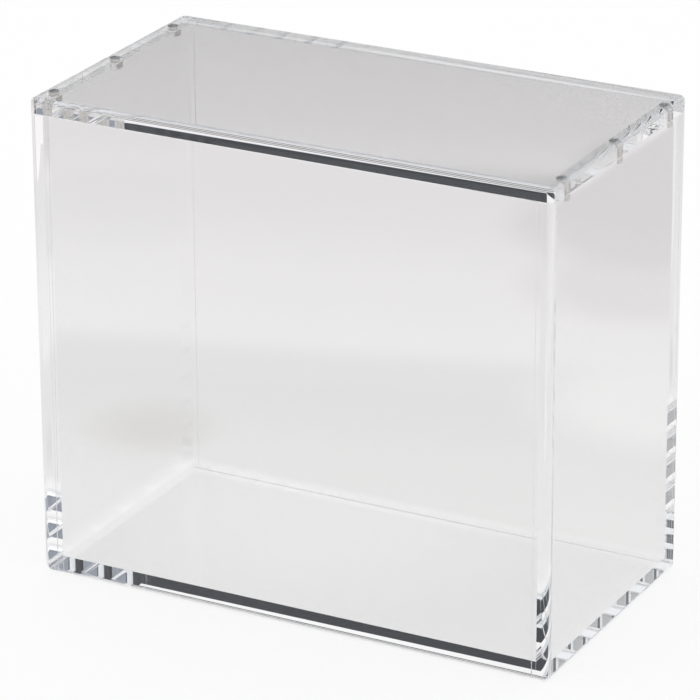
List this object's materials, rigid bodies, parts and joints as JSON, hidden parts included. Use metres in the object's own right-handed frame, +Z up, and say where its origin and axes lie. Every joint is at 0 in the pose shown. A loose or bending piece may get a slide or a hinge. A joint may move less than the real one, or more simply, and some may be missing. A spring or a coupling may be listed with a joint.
{
  "type": "collectible display case",
  "caption": "Clear acrylic display case: a bonded, open-topped rectangular body with rounded polished edges and a flat lift-off lid held by small round magnets.",
  "frame": {"origin": "middle of the footprint, on the surface that the case stands on", "axes": "+X along the long side to the right, -Y towards the front, +Z up through the lid"},
  "size_m": [0.155, 0.0826, 0.1385],
  "materials": {
    "clear_acrylic": "polished clear cast acrylic",
    "nickel_plate": "bright nickel plate"
  },
  "bodies": {
    "case_body": {"base_panel": "clear_acrylic", "front_panel": "clear_acrylic", "back_panel": "clear_acrylic", "left_panel": "clear_acrylic", "right_panel": "clear_acrylic", "wall_magnet_left_front": "nickel_plate", "wall_magnet_left_middle": "nickel_plate", "wall_magnet_left_back": "nickel_plate", "wall_magnet_right_front": "nickel_plate", "wall_magnet_right_middle": "nickel_plate", "wall_magnet_right_back": "nickel_plate"},
    "lid": {"lid_panel": "clear_acrylic", "lid_magnet_left_front": "nickel_plate", "lid_magnet_left_middle": "nickel_plate", "lid_magnet_left_back": "nickel_plate", "lid_magnet_right_front": "nickel_plate", "lid_magnet_right_middle": "nickel_plate", "lid_magnet_right_back": "nickel_plate"}
  },
  "joints": [
    {"name": "lid_lift", "type": "slide", "parent": "case_body", "child": "lid", "axis": [0, 0, 1], "range_m": [0, 0.135]}
  ]
}
